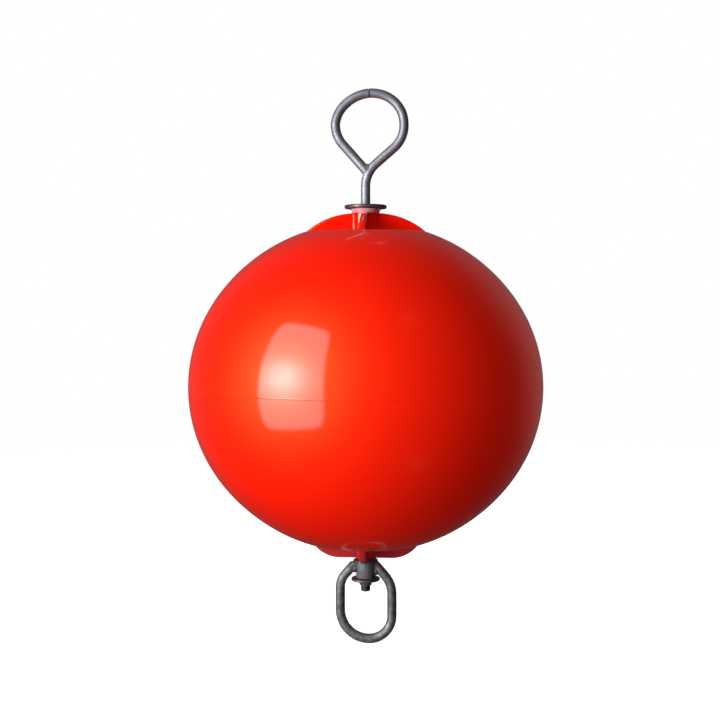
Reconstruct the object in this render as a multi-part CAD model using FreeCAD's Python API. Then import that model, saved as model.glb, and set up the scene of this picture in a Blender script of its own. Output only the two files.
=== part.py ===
import FreeCAD, Part
import math
import os
from FreeCAD import Vector

# Anchor buoy: a hollow moulded float on a galvanised rod. The rod ends in a pear-shaped eye above the
# float and carries a swivelling bow below it. Millimetres, +Z up towards the eye, origin at the centre
# of the float on the rod's axis. The eye and the bow lie in the XZ plane.

# Float: a slightly flattened ball, recessed at both crowns
FLOAT_DIA = 450.0
FLOAT_HEIGHT = 417.0
SHELL_WALL = 4.0
TUBE_WALL = 4.0
CROWN_DIA = 154.0
CROWN_RIM_RADIUS = 5.0
RECESS_DEPTH = 12.0
RECESS_SIDE = 7.0

# Crosses of four fins that carry the bosses at the crowns
FIN_THICKNESS = 9.0
FIN_EDGE_RADIUS = 2.5
FIN_TURN = -4.0
TOP_BOSS_DIA = 33.0
TOP_BOSS_RISE = 11.5
TOP_FIN_SAG = 5.6
BOTTOM_BOSS_DIA = 22.0
BOTTOM_BOSS_RISE = 13.0
BOTTOM_FIN_RISE = 11.0
BOTTOM_FIN_FLAT = 33.0
BOTTOM_FIN_STEP = 8.0
BOTTOM_FIN_LIP = 3.4

# Rod and its running clearances
ROD_DIA = 12.0
RUNNING_GAP = 0.3
WASHER_BORE_GAP = 0.2
SEAT_GAP = 0.3
ROD_TAIL = 13.8
ROD_CHAMFER = 1.0

# Flanged bush in the top boss, and the washer on it
BUSH_TOP_DIA = 39.0
BUSH_FOOT_DIA = 35.0
BUSH_FLANGE = 5.5
BUSH_SPIGOT_DIA = 20.0
BUSH_SPIGOT_LENGTH = 16.0
BUSH_SPIGOT_GAP = 0.2
TOP_WASHER_DIA = 54.0
TOP_WASHER_THICKNESS = 4.5
TOP_WASHER_EDGE = 1.2

# Pear-shaped eye, measured on the bar's centreline
EYE_SHAFT = 41.4
EYE_OFFSET = 1.6
EYE_LEAN = 3.5
EYE_SIDE_RADIUS = 37.8
EYE_SPREAD = 6.0
EYE_CREST = 3.2
EYE_LEG_ANGLE = 45.0
EYE_BEND_RADIUS = 38.0
BUTT_GAP = 0.1
BUTT_CHAMFER = 0.8
EYE_WELD_DIA = 12.0
EYE_WELD_RISE = 5.0

# Swivel below the float
UPPER_WASHER_DIA = 31.5
LOWER_WASHER_DIA = 36.4
WASHER_THICKNESS = 3.0
WASHER_EDGE = 0.6
HUB_DIA = 21.7
HUB_LENGTH = 19.8
END_WELD_DIA = 20.0
END_WELD_HEIGHT = 6.0
END_WELD_LIP = 0.8

# Hand-bent bow, measured on the bar's centreline
BOW_BAR_DIA = 12.0
BOW_LEFT = 32.2
BOW_RIGHT = 33.5
BOW_ARM_ANGLE = 41.0
BOW_LEFT_GAP = 2.8
BOW_RIGHT_GAP = 0.5
BOW_LEFT_BEND = 23.0
BOW_RIGHT_BEND = 36.0
BOW_DROP = 97.8
BOW_LOW_POINT = 5.0
BOW_WELD_DIA = 13.0
BOW_WELD_STEP = 2.5

# Axis of the weld balls' seams, off every plane of the bars
WELD_SEAM_AXIS = Vector(1, 2, 3)

# Heights worked out from the sizes above
float_radius = FLOAT_DIA / 2
half_height = FLOAT_HEIGHT / 2
crown_radius = CROWN_DIA / 2
crown_z = half_height * math.sqrt(1 - (crown_radius / float_radius) ** 2)
floor_z = crown_z - RECESS_DEPTH
top_boss_z = half_height + TOP_BOSS_RISE
bottom_boss_z = -half_height - BOTTOM_BOSS_RISE
bottom_fin_z = -half_height - BOTTOM_FIN_RISE
rod_radius = ROD_DIA / 2
bore_radius = rod_radius + RUNNING_GAP
tube_radius = bore_radius + TUBE_WALL

bush_top_z = top_boss_z + BUSH_FLANGE
top_washer_z = bush_top_z + SEAT_GAP
eye_bend_z = top_washer_z + TOP_WASHER_THICKNESS + EYE_SHAFT

upper_washer_z = bottom_boss_z - SEAT_GAP - WASHER_THICKNESS
hub_top_z = upper_washer_z - SEAT_GAP
hub_bottom_z = hub_top_z - HUB_LENGTH
lower_washer_z = hub_bottom_z - SEAT_GAP - WASHER_THICKNESS
rod_end_z = lower_washer_z - ROD_TAIL
bow_low_z = hub_top_z - BOW_DROP
arm_angle = math.radians(BOW_ARM_ANGLE)


def at(x, z):
    """A point in the XZ plane, where every outline and centreline is drawn."""
    return Vector(x, 0, z)


def polyline(points):
    return [Part.makeLine(a, b) for a, b in zip(points, points[1:])]


def revolved(edges):
    """The solid that a closed outline of edges sweeps about the rod's axis."""
    face = Part.Face(Part.Wire(Part.__sortEdges__(edges)))
    return face.revolve(Vector(0, 0, 0), Vector(0, 0, 1), 360)


def turned(points):
    return revolved(polyline(points + points[:1]))


def cylinder(radius, low_z, high_z):
    return Part.makeCylinder(radius, high_z - low_z, Vector(0, 0, low_z))


def half_ellipsoid(radius, height):
    """The half above the equator, or below it for a negative height."""
    long_end, short_end = at(radius, 0), at(0, height)
    if abs(height) > radius:
        long_end, short_end = short_end, long_end
    curve = Part.Ellipse(long_end, short_end, Vector(0, 0, 0))
    start, end = sorted((curve.parameter(at(radius, 0)), curve.parameter(at(0, height))))
    if end - start > math.pi:
        start, end = end, start + 2 * math.pi
    arc = curve.toShape(start, end)
    return revolved([arc] + polyline([at(0, height), Vector(0, 0, 0), at(radius, 0)]))


def recess(side):
    """What is taken out of one crown: a dished ring that opens beyond the rim. Side is 1 or -1."""
    above = half_height * 1.5
    foot = crown_radius - RECESS_SIDE
    outline = [at(0, floor_z), at(foot, floor_z), at(crown_radius, crown_z), at(crown_radius, above)]
    ring = turned(outline + [at(0, above)])
    return ring if side > 0 else ring.mirror(Vector(0, 0, 0), Vector(0, 0, 1))


def plate(edges, rounded):
    """A fin from its closed outline, with the edges on both sides of the rounded stretches softened."""
    face = Part.Face(Part.Wire(Part.__sortEdges__(edges)))
    face.translate(Vector(0, -FIN_THICKNESS / 2, 0))
    solid = face.extrude(Vector(0, FIN_THICKNESS, 0))
    soft = []
    for edge in solid.Edges:
        middle = edge.valueAt((edge.FirstParameter + edge.LastParameter) / 2)
        on_side = abs(abs(middle.y) - FIN_THICKNESS / 2) < 1e-6
        drawn = Vector(middle.x, 0, middle.z)
        if on_side and any(e.distToShape(Part.Vertex(drawn))[0] < 1e-6 for e in rounded):
            soft.append(edge)
    return solid.makeFillet(FIN_EDGE_RADIUS, soft)


def top_fin():
    root = at(bore_radius, floor_z - SHELL_WALL / 2)
    foot = at(crown_radius, floor_z - SHELL_WALL / 2)
    inner, outer = at(TOP_BOSS_DIA / 2, top_boss_z), at(crown_radius, crown_z)
    along = outer - inner
    rise = Vector(-along.z, 0, along.x).normalize() * TOP_FIN_SAG
    edge = Part.Arc(inner, (inner + outer) / 2 + rise, outer).toShape()
    sides = polyline([outer, foot, root, at(bore_radius, top_boss_z), inner])
    above = cylinder(FLOAT_DIA, top_boss_z, top_boss_z + FLOAT_HEIGHT)
    return plate([edge] + sides, [edge]).cut(above)


def bottom_fin():
    root = at(bore_radius, SHELL_WALL / 2 - floor_z)
    foot, rim = at(crown_radius, SHELL_WALL / 2 - floor_z), at(crown_radius, -crown_z)
    flat_start, flat_end = at(bore_radius, bottom_fin_z), at(BOTTOM_FIN_FLAT, bottom_fin_z)
    tip = at(crown_radius - BOTTOM_FIN_STEP, -crown_z - BOTTOM_FIN_LIP)
    run, rise = tip.x - flat_end.x, tip.z - flat_end.z
    radius = (run ** 2 + rise ** 2) / (2 * rise)
    half_turn = math.atan2(rise, run)
    middle = flat_end + at(math.sin(half_turn), 1 - math.cos(half_turn)) * radius
    edge = [Part.makeLine(flat_start, flat_end), Part.Arc(flat_end, middle, tip).toShape()]
    return plate(edge + polyline([tip, rim, foot, root, flat_start]), edge)


def around(solid, count):
    """Copies of a solid spaced evenly about the rod's axis, turned with the cross of fins."""
    copies = []
    for i in range(count):
        copy = solid.copy()
        copy.rotate(Vector(0, 0, 0), Vector(0, 0, 1), FIN_TURN + 360 / count * i)
        copies.append(copy)
    return copies


def float_cavity():
    """The closed hollow of the float, a wall inside the shell, its recesses and its centre tube."""
    inner_radius, inner_height = float_radius - SHELL_WALL, half_height - SHELL_WALL
    hollow = half_ellipsoid(inner_radius, inner_height).fuse(half_ellipsoid(inner_radius, -inner_height))
    block = crown_radius + SHELL_WALL
    for low, high in ((floor_z - SHELL_WALL, half_height), (-half_height, SHELL_WALL - floor_z)):
        hollow = hollow.cut(cylinder(block, low, high))
    return hollow.cut(cylinder(tube_radius, -half_height, half_height))


def rim_edges(solid):
    """The two circles where the recesses meet the outside of the float."""
    rims = []
    for edge in solid.Edges:
        box = edge.BoundBox
        level = box.ZLength < 1e-6 and abs(abs(box.ZMin) - crown_z) < 1e-4
        if level and abs(box.XMax - crown_radius) < 1e-3:
            rims.append(edge)
    return rims


def float_shell():
    body = half_ellipsoid(float_radius, half_height).fuse(half_ellipsoid(float_radius, -half_height))
    body = body.cut([recess(1), recess(-1)]).removeSplitter()
    body = body.makeFillet(CROWN_RIM_RADIUS, rim_edges(body))
    bosses = [cylinder(TOP_BOSS_DIA / 2, floor_z - SHELL_WALL / 2, top_boss_z)]
    bosses.append(cylinder(BOTTOM_BOSS_DIA / 2, bottom_boss_z, SHELL_WALL / 2 - floor_z))
    fins = around(top_fin(), 4) + around(bottom_fin(), 4)
    body = body.fuse(bosses + fins)
    bore = cylinder(bore_radius, bottom_boss_z - 1, top_boss_z + 1)
    seat_depth = BUSH_SPIGOT_LENGTH + SEAT_GAP
    seat = cylinder(BUSH_SPIGOT_DIA / 2 + BUSH_SPIGOT_GAP, top_boss_z - seat_depth, top_boss_z + 1)
    return body.cut([float_cavity(), bore, seat]).removeSplitter()


def top_bush():
    """A plastic bush whose tapered flange stands between the boss and the washer."""
    spigot, bore = BUSH_SPIGOT_DIA / 2, bore_radius
    foot_z = top_boss_z - BUSH_SPIGOT_LENGTH
    return turned([
        at(bore, foot_z), at(spigot, foot_z), at(spigot, top_boss_z), at(BUSH_FOOT_DIA / 2, top_boss_z),
        at(BUSH_TOP_DIA / 2, bush_top_z), at(bore, bush_top_z),
    ])


def washer(diameter, bore, low_z, thickness, edge):
    """A flat washer with its outer edges eased."""
    outer, high_z = diameter / 2, low_z + thickness
    return turned([
        at(bore, low_z), at(outer - edge, low_z), at(outer, low_z + edge),
        at(outer, high_z - edge), at(outer - edge, high_z), at(bore, high_z),
    ])


def top_washer():
    """The washer on the bush, fast on the rod."""
    return washer(TOP_WASHER_DIA, rod_radius, top_washer_z, TOP_WASHER_THICKNESS, TOP_WASHER_EDGE)


def swivel_washer(diameter, low_z):
    """A washer above or below the hub, loose on the rod."""
    return washer(diameter, rod_radius + WASHER_BORE_GAP, low_z, WASHER_THICKNESS, WASHER_EDGE)


def arc(centre, radius, start, end):
    """An arc about centre from one angle to another, in degrees up from +X."""
    def on(angle):
        return centre + at(math.cos(math.radians(angle)), math.sin(math.radians(angle))) * radius
    return Part.Arc(on(start), on((start + end) / 2), on(end)).toShape()


def bend(before, corner, after, radius):
    """The arc that rounds a corner, and its two tangent points."""
    into, out = (corner - before).normalize(), (after - corner).normalize()
    turn = into.getAngle(out)
    tangent = radius * math.tan(turn / 2)
    start, end = corner - into * tangent, corner + out * tangent
    inward = (out - into).normalize()
    centre = corner + inward * (radius / math.cos(turn / 2))
    middle = centre - inward * radius
    return start, Part.Arc(start, middle, end).toShape(), end


def bar(edges, diameter):
    """A round bar along a centreline of lines and tangent arcs."""
    lengths = []
    for edge in edges:
        start, end = edge.valueAt(edge.FirstParameter), edge.valueAt(edge.LastParameter)
        ring = Part.makeCircle(diameter / 2, start, edge.tangentAt(edge.FirstParameter))
        disc = Part.Face(Part.Wire(ring))
        if edge.Curve.TypeId == "Part::GeomCircle":
            sweep = math.degrees(edge.LastParameter - edge.FirstParameter)
            lengths.append(disc.revolve(edge.Curve.Center, edge.Curve.Axis, sweep))
        else:
            lengths.append(disc.extrude(end - start))
    return lengths[0].fuse(lengths[1:]).removeSplitter()


# The eye's outline is mirrored about its own middle: a tight arc at each side and a flatter one on top.
# The whole outline leans a little to the right.
eye_rise = EYE_SIDE_RADIUS + EYE_CREST
eye_top_drop = (EYE_SPREAD ** 2 - EYE_CREST ** 2) / (2 * EYE_CREST)
eye_top_radius = eye_rise + eye_top_drop
eye_join_angle = math.degrees(math.atan2(eye_top_drop, EYE_SPREAD))
leg_angle, lean = math.radians(EYE_LEG_ANGLE), math.radians(EYE_LEAN)
leg_top = at(EYE_SPREAD + EYE_SIDE_RADIUS * math.cos(leg_angle), -EYE_SIDE_RADIUS * math.sin(leg_angle))
crotch_drop = leg_top.x / math.tan(leg_angle) - leg_top.z


def leaning(x, z):
    """A step along the eye's own outline, which leans to the right."""
    return at(x * math.cos(lean) + z * math.sin(lean), z * math.cos(lean) - x * math.sin(lean))


crotch = at(EYE_OFFSET, eye_bend_z + EYE_OFFSET / math.tan(leg_angle + lean))
eye_centre = crotch + leaning(0, crotch_drop)
eye_top_centre = eye_centre + leaning(0, -eye_top_drop)
eye_top = eye_top_centre + at(0, eye_top_radius)


def half_eye(side):
    """The centreline of one half of the eye, from its leg's upper end to the butt joint on top."""
    end = math.degrees(math.asin(BUTT_GAP / 2 / eye_top_radius))
    side_centre = eye_centre + leaning(side * EYE_SPREAD, 0)
    foot, join, top = -EYE_LEG_ANGLE - EYE_LEAN, eye_join_angle - EYE_LEAN, 90 - end
    if side < 0:
        foot, join, top = 180 + EYE_LEG_ANGLE - EYE_LEAN, 180 - eye_join_angle - EYE_LEAN, 90 + end
    return [arc(side_centre, EYE_SIDE_RADIUS, foot, join), arc(eye_top_centre, eye_top_radius, join, top)]


def leg_end(side):
    return eye_centre + leaning(side * leg_top.x, leg_top.z)


def end_face(solid, place):
    """The flat face of a bar that is centred nearest to a place."""
    flat = [f for f in solid.Faces if f.Surface.TypeId == "Part::GeomPlane"]
    return min(flat, key=lambda f: (f.CenterOfMass - place).Length)


def eased(solid, place, size):
    return solid.makeChamfer(size, end_face(solid, place).Edges)


def eye_rod():
    """The rod from its tail to the butt joint, with the right half of the eye in one piece."""
    tail, right_leg = at(0, rod_end_z), leg_end(1)
    start, curve, end = bend(tail, at(0, eye_bend_z), right_leg, EYE_BEND_RADIUS)
    path = polyline([tail, start]) + [curve] + polyline([end, right_leg]) + half_eye(1)
    solid = bar(path, ROD_DIA)
    return eased(eased(solid, tail, ROD_CHAMFER), eye_top, BUTT_CHAMFER)


def eye_left_half(rod):
    """The left half of the eye, coped where its leg lands on the bend of the rod."""
    solid = bar(polyline([crotch, leg_end(-1)]) + half_eye(-1), ROD_DIA)
    return eased(solid, eye_top, BUTT_CHAMFER).cut(rod)


def round_weld(radius, centre):
    """A ball of weld metal, its seam turned away from the planes the bars lie in."""
    return Part.makeSphere(radius, centre, WELD_SEAM_AXIS)


def eye_weld(rod, left_half):
    """The weld that fills the crotch between the two legs of the eye."""
    return round_weld(EYE_WELD_DIA / 2, crotch + leaning(0, EYE_WELD_RISE)).cut(rod).cut(left_half)


def end_weld():
    """The bead that holds the lower washer on the rod's tail."""
    outer = END_WELD_DIA / 2
    low_z = lower_washer_z - END_WELD_HEIGHT
    return turned([
        at(rod_radius, lower_washer_z), at(outer, lower_washer_z),
        at(outer - END_WELD_LIP, lower_washer_z - END_WELD_LIP),
        at(rod_radius + END_WELD_LIP, low_z), at(rod_radius, low_z),
    ])


def swivel_hub():
    """The tube that turns on the rod between the two swivel washers."""
    tube = cylinder(HUB_DIA / 2, hub_bottom_z, hub_top_z)
    return tube.cut(cylinder(bore_radius, hub_bottom_z, hub_top_z))


def on_side(solid, side):
    """A solid drawn on the right, kept there or mirrored to the left."""
    return solid if side > 0 else solid.mirror(Vector(0, 0, 0), Vector(1, 0, 0))


def bow_arm(reach, gap):
    """The ends of an arm's line: on the axis, and where it meets the line of its upright."""
    rim_x, rim_z = LOWER_WASHER_DIA / 2, lower_washer_z + WASHER_THICKNESS
    clear = (BOW_BAR_DIA / 2 + gap) / math.cos(arm_angle)
    corner = at(reach, rim_z - (reach - rim_x - clear) / math.tan(arm_angle))
    return at(0, corner.z + reach / math.tan(arm_angle)), corner


def bow_half(side, reach, gap, bend_radius):
    """One arm, upright and quarter of the bottom, with the arm's end coped on the hub."""
    top, corner = bow_arm(reach, gap)
    low_radius = reach - side * BOW_LOW_POINT
    low = at(reach, bow_low_z + low_radius)
    start, curve, end = bend(top, corner, low, bend_radius)
    quarter = arc(at(reach - low_radius, low.z), low_radius, 270, 360)
    path = polyline([top, start]) + [curve] + polyline([end, low]) + [quarter]
    above = top.z + BOW_BAR_DIA
    hub, sky = cylinder(HUB_DIA / 2, hub_bottom_z, above), cylinder(FLOAT_DIA, hub_top_z, above)
    return on_side(bar(path, BOW_BAR_DIA).cut(hub).cut(sky), side)


def bow_weld(side, reach, gap):
    """The blob of weld in the corner under one arm, between it and the hub."""
    top, corner = bow_arm(reach, gap)
    under_z = top.z - (HUB_DIA / 2) / math.tan(arm_angle) - BOW_BAR_DIA / 2 / math.sin(arm_angle)
    blob = round_weld(BOW_WELD_DIA / 2, at(HUB_DIA / 2 + BOW_WELD_STEP, under_z))
    blob = blob.cut(bar(polyline([top, corner]), BOW_BAR_DIA))
    blob = blob.cut(cylinder(HUB_DIA / 2, bow_low_z, half_height))
    return on_side(blob.common(cylinder(FLOAT_DIA, hub_bottom_z, hub_top_z)), side)


os.makedirs("parts", exist_ok=True)
rod = eye_rod()
left_half = eye_left_half(rod)
left_bow = bow_half(-1, BOW_LEFT, BOW_LEFT_GAP, BOW_LEFT_BEND)
right_bow = bow_half(1, BOW_RIGHT, BOW_RIGHT_GAP, BOW_RIGHT_BEND)
parts = {
    "float_shell": float_shell(),
    "top_bush": top_bush(),
    "eye_rod": rod,
    "eye_left_half": left_half,
    "eye_weld": eye_weld(rod, left_half),
    "top_washer": top_washer(),
    "upper_swivel_washer": swivel_washer(UPPER_WASHER_DIA, upper_washer_z),
    "lower_swivel_washer": swivel_washer(LOWER_WASHER_DIA, lower_washer_z),
    "rod_end_weld": end_weld(),
    "swivel_hub": swivel_hub(),
    "bow": left_bow.fuse(right_bow).removeSplitter(),
    "bow_weld_left": bow_weld(-1, BOW_LEFT, BOW_LEFT_GAP),
    "bow_weld_right": bow_weld(1, BOW_RIGHT, BOW_RIGHT_GAP),
}
for name, shape in parts.items():
    shape.exportStep("parts/" + name + ".step")
    print(name, "valid" if shape.isValid() else "faulty", len(shape.Solids), "solid", round(shape.Volume))
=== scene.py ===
import math
import bmesh
import bpy
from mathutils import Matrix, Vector


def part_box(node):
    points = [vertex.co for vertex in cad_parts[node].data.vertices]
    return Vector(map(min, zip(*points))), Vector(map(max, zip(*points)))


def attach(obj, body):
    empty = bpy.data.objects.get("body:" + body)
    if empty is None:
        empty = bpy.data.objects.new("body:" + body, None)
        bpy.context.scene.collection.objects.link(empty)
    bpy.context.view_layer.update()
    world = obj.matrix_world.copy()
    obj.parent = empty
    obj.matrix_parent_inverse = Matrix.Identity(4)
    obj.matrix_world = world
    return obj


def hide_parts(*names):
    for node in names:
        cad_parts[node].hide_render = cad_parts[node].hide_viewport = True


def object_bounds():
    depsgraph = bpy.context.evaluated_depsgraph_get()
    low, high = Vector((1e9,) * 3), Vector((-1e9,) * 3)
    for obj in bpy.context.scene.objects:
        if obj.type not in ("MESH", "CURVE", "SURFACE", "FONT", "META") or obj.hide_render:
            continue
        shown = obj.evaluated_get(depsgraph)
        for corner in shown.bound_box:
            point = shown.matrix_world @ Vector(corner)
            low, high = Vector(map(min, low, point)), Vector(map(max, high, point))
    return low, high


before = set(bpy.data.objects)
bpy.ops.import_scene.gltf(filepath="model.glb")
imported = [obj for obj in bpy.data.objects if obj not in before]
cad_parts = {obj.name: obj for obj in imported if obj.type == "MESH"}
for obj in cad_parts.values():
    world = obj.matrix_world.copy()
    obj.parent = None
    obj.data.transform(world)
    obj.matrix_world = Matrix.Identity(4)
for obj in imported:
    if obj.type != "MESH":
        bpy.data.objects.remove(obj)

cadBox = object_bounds()
mm = 0.001
joinWithin, joinFinely = 0.000002, 0.0000005  # metres within which a mesh's points become one
scene = bpy.context.scene
scene.view_settings.view_transform = "Standard"  # keeps the signal red as strong as moulded vinyl
print("frame loaded:", len(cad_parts), "solids")


# helpers for node trees

def addNode(tree, kind, inputs=None, **settings):
    # an input that is given a socket is linked to it, and any other is set
    node = tree.nodes.new(kind)
    for key, value in settings.items():
        setattr(node, key, value)
    for key, value in (inputs or {}).items():
        if isinstance(value, bpy.types.NodeSocket):
            tree.links.new(value, node.inputs[key])
        else:
            node.inputs[key].default_value = value
    return node


def doMath(tree, operation, *values, clamp=False):
    settings = {"operation": operation, "use_clamp": clamp}
    return addNode(tree, "ShaderNodeMath", dict(enumerate(values)), **settings).outputs[0]


def doVector(tree, operation, inputs):
    return addNode(tree, "ShaderNodeVectorMath", inputs, operation=operation).outputs


def remap(tree, value, start=(0.0, 1.0), end=(0.0, 1.0), ease="LINEAR"):
    limits = {"From Min": start[0], "From Max": start[1], "To Min": end[0], "To Max": end[1]}
    node = addNode(tree, "ShaderNodeMapRange", {"Value": value, **limits}, interpolation_type=ease)
    return node.outputs["Result"]


def noise(tree, place, scale, detail, roughness=0.5):
    inputs = {"Vector": place, "Scale": scale, "Detail": detail, "Roughness": roughness}
    return addNode(tree, "ShaderNodeTexNoise", inputs).outputs["Fac"]


def mixColour(tree, factor, first, second):
    # a colour mix takes its colours in sockets 6 and 7 and gives the result in socket 2
    mix = addNode(tree, "ShaderNodeMix", {0: factor, 6: first, 7: second}, data_type="RGBA")
    return mix.outputs[2]


def mixShader(tree, factor, first, second):
    return addNode(tree, "ShaderNodeMixShader", {0: factor, 1: first, 2: second}).outputs[0]


def cleared(owner):
    owner.use_nodes = True
    owner.node_tree.nodes.clear()
    return owner.node_tree


socketKinds = {float: "Float", int: "Int", tuple: "Color"}


def newTree(name, kind, inputs, outputs):
    # an input's default gives its kind, and a kind in its place makes a socket without a default
    tree = bpy.data.node_groups.new(name, kind)
    for label, value in inputs.items():
        socketKind = value if isinstance(value, str) else socketKinds[type(value)]
        socket = tree.interface.new_socket(label, in_out="INPUT", socket_type="NodeSocket" + socketKind)
        if value != socketKind:
            socket.default_value = value
    for label, socketKind in outputs.items():
        tree.interface.new_socket(label, in_out="OUTPUT", socket_type="NodeSocket" + socketKind)
    return tree, tree.nodes.new("NodeGroupInput").outputs, tree.nodes.new("NodeGroupOutput").inputs


def seededNoise(tree, where, seed, scale, detail):
    return noise(tree, doVector(tree, "ADD", {0: where, 1: seed})[0], scale, detail)


def pushSkin(tree, geometry, way, distance):
    push = doVector(tree, "SCALE", {0: way, "Scale": distance})[0]
    return addNode(tree, "GeometryNodeSetPosition", {"Geometry": geometry, "Offset": push})


def endTree(tree, shaped, finish, out):
    # every piece's tree ends in plain geometry that has its finish
    solid = addNode(tree, "GeometryNodeRealizeInstances", {0: shaped.outputs[0]})
    coloured = addNode(tree, "GeometryNodeSetMaterial", {"Geometry": solid.outputs[0], "Material": finish})
    tree.links.new(coloured.outputs[0], out[0])
    return tree


# helpers for objects and meshes

def linkNew(name, data):
    thing = bpy.data.objects.new(name, data)
    scene.collection.objects.link(thing)
    return thing


def meshPiece(name, points, faces, edges=()):
    data = bpy.data.meshes.new(name)
    data.from_pydata([tuple(p) for p in points], list(edges), list(faces))
    data.update()
    return linkNew(name, data)


def bakeShape(piece):
    # what the modifiers make becomes the piece's own mesh
    piece.update_tag()
    graph = bpy.context.evaluated_depsgraph_get()
    graph.update()
    baked = bpy.data.meshes.new_from_object(piece.evaluated_get(graph), depsgraph=graph)
    piece.modifiers.clear()
    old, name = piece.data, piece.name
    piece.data = baked
    bpy.data.meshes.remove(old)
    baked.name = name
    return piece


def runTree(piece, tree, values):
    modifier = piece.modifiers.new(tree.name, "NODES")
    modifier.node_group = tree
    for item in tree.interface.items_tree:
        if item.in_out == "INPUT" and item.name in values:
            modifier[item.identifier] = values[item.name]
    return bakeShape(piece)


def cleanMesh(piece, within=joinWithin):
    work = bmesh.new()
    work.from_mesh(piece.data)
    bmesh.ops.remove_doubles(work, verts=work.verts, dist=within)
    bmesh.ops.dissolve_degenerate(work, edges=work.edges, dist=within)
    bmesh.ops.recalc_face_normals(work, faces=work.faces)
    for face in work.faces:
        face.smooth = True
    work.to_mesh(piece.data)
    work.free()
    return piece


# helpers for outlines, in millimetres

def straight(start, end, steps):
    a, b = Vector(start), Vector(end)
    return [a.lerp(b, i / steps) for i in range(1, steps + 1)]


def rounded(before, corner, after, radius, steps):
    # the arc that rounds a corner, from its first tangent point to its last
    corner = Vector(corner)
    back, ahead = (Vector(before) - corner).normalized(), (Vector(after) - corner).normalized()
    half = back.angle(ahead) / 2
    centre = corner + (back + ahead).normalized() * (radius / math.sin(half))
    start = corner + back * (radius / math.tan(half)) - centre
    end = corner + ahead * (radius / math.tan(half)) - centre
    sweep = start.angle(end)
    points = []
    for i in range(steps + 1):
        share = i / steps
        spoke = start * math.sin((1 - share) * sweep) + end * math.sin(share * sweep)
        points.append(centre + spoke / math.sin(sweep))
    return points


def ringArc(centre, radius, start, end, steps):
    # between two angles in degrees, without the arc's first point
    points = []
    for i in range(1, steps + 1):
        angle = math.radians(start + (end - start) * i / steps)
        x, z = centre[0] + radius * math.cos(angle), centre[1] + radius * math.sin(angle)
        points.append(Vector((x, z)))
    return points


# camera, lights and floor

cameraSet = {"distance": 1.5, "height": 0.11, "side": -0.0072, "middle": 0.0326, "width": 0.9197}


def placeCamera(s):
    data = bpy.data.cameras.new("studioCamera")
    data.sensor_fit = "HORIZONTAL"
    data.angle = 2 * math.atan(s["width"] / 2 / s["distance"])
    data.shift_y = (s["middle"] - s["height"]) / s["width"]  # level, but framed below its own axis
    camera = linkNew("studioCamera", data)
    camera.location = (s["side"], -s["distance"], s["height"])
    camera.rotation_euler = (math.pi / 2, 0, 0)
    scene.camera = camera


lightSet = {
    "windowPlace": (-1.948, -1.856, 0.65), "windowSize": (2.22, 3.86), "windowPower": 146,
    "windowBase": 0.8, "windowTint": (1.0, 0.985, 1.02, 1), "windowEdge": 0.075, "windowCorner": 7.0,
    "bulbShift": (-0.2, -0.26), "bulbSpread": (0.66, 0.52), "bulbGain": 2.5,
    "fills": {  # place, width and power of each weak lamp on the far side
        "farFill": ((1.5, 2.3, 0.55), 2.4, 80), "highFill": ((1.2, -1.5, 2.1), 0.7, 18),
        "lowFill": ((1.2, -1.5, -2.0), 0.7, 18),
    },
    "ambient": 0.045, "backdrop": 1.0,
    "roomDepth": (0.1, 0.95), "roomTones": (0.01, 0.10),  # the mirrored room, from its front to its back
    "roomHeight": (-0.75, 0.0), "roomShades": (0.2, 1.0),  # and from its floor up
}


def shapeWindow(data, s):
    # a lamp behind the cloth makes a brighter spot, and the edges and corners of the frame are soft
    tree = cleared(data)
    place = addNode(tree, "ShaderNodeNewGeometry").outputs["Parametric"]
    spot = addNode(tree, "ShaderNodeSeparateXYZ", {0: place}).outputs
    bulb, border = [], []
    for axis, size, shift, spread in zip("XY", s["windowSize"], s["bulbShift"], s["bulbSpread"]):
        across = doMath(tree, "MULTIPLY_ADD", spot[axis], size, -size / 2)
        away = doMath(tree, "DIVIDE", doMath(tree, "SUBTRACT", across, shift), spread)
        bulb.append(doMath(tree, "POWER", away, 2.0))
        share = doMath(tree, "ABSOLUTE", doMath(tree, "DIVIDE", across, size / 2))
        border.append(doMath(tree, "POWER", share, s["windowCorner"]))
    peak = doMath(tree, "EXPONENT", doMath(tree, "MULTIPLY", doMath(tree, "ADD", *bulb), -1.0))
    bright = doMath(tree, "MULTIPLY_ADD", peak, s["bulbGain"], s["windowBase"])
    inner = (1 - 2 * s["windowEdge"]) ** s["windowCorner"]
    frameEdge = remap(tree, doMath(tree, "ADD", *border), (1.0, inner), ease="SMOOTHSTEP")
    level = doMath(tree, "MULTIPLY", bright, frameEdge)
    glow = addNode(tree, "ShaderNodeEmission", {"Color": s["windowTint"], "Strength": level})
    addNode(tree, "ShaderNodeOutputLight", {"Surface": glow.outputs[0]})


def placeLamp(name, place, size, power):
    data = bpy.data.lights.new(name, "AREA")
    data.shape = "RECTANGLE"
    data.size, data.size_y = size
    data.energy = power
    lamp = linkNew(name, data)
    lamp.location = place
    lamp.rotation_euler = Vector((-place[0], -place[1], 0)).to_track_quat("-Z", "Y").to_euler()
    return lamp


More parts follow.
